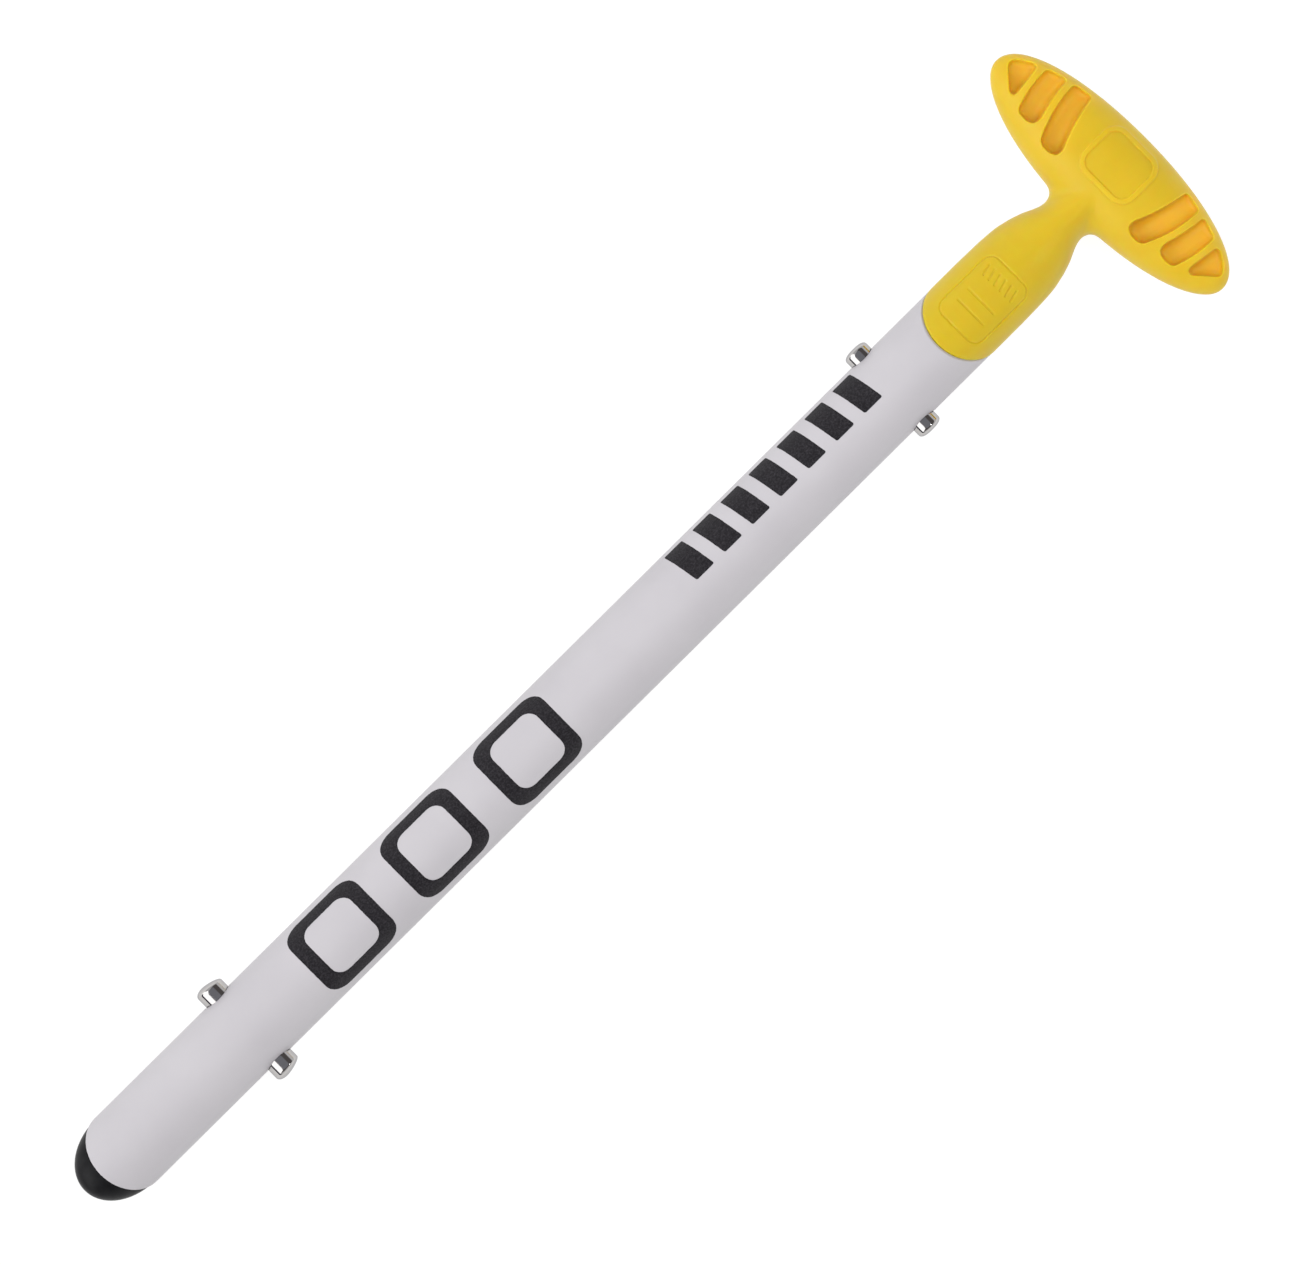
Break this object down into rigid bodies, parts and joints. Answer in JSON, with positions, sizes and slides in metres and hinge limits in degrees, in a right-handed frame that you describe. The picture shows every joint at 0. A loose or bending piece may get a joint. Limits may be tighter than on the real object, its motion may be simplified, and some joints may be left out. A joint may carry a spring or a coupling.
{
  "type": "shovel shaft",
  "caption": "T-handled shovel shaft: round coated tube with slanted ends, domed end plug, moulded T-grip and two double-ended spring clips with round push buttons.",
  "frame": {"origin": "on the surface that the part lies on, under the middle of its length and width", "axes": "+X along the shaft towards the T-grip, +Y along the T-bar to the left button side, +Z out of the front face"},
  "size_m": [0.5052, 0.1088, 0.03],
  "materials": {
    "tube_coating": "satin off-white coating on an aluminium tube",
    "grip_plastic": "satin moulded yellow",
    "plug_plastic": "satin black",
    "clip_steel": "bright spring steel"
  },
  "bodies": {
    "root": {"shaft_tube": "tube_coating", "t_grip": "grip_plastic", "end_plug": "plug_plastic", "lower_clip_bend": "clip_steel", "upper_clip_bend": "clip_steel"},
    "lower_left_button": {"lower_clip_arm_left": "clip_steel"},
    "lower_right_button": {"lower_clip_arm_right": "clip_steel"},
    "upper_left_button": {"upper_clip_arm_left": "clip_steel"},
    "upper_right_button": {"upper_clip_arm_right": "clip_steel"}
  },
  "joints": [
    {"name": "lower_left_press", "type": "hinge", "parent": "root", "child": "lower_left_button", "pos_m": [-0.1239, 0.012, 0.01498], "axis": [0, 0, 1], "range_deg": [0, 6.5], "stiffness_Nm_per_rad": 3, "springref_deg": -5.73},
    {"name": "lower_right_press", "type": "hinge", "parent": "root", "child": "lower_right_button", "pos_m": [-0.1239, -0.012, 0.01498], "axis": [0, 0, -1], "range_deg": [0, 6.5], "stiffness_Nm_per_rad": 3, "springref_deg": -5.73},
    {"name": "upper_left_press", "type": "hinge", "parent": "root", "child": "upper_left_button", "pos_m": [0.0827, 0.012, 0.01498], "axis": [0, 0, -1], "range_deg": [0, 5.5], "stiffness_Nm_per_rad": 3, "springref_deg": -5.73},
    {"name": "upper_right_press", "type": "hinge", "parent": "root", "child": "upper_right_button", "pos_m": [0.0827, -0.012, 0.01498], "axis": [0, 0, 1], "range_deg": [0, 5.5], "stiffness_Nm_per_rad": 3, "springref_deg": -5.73}
  ]
}
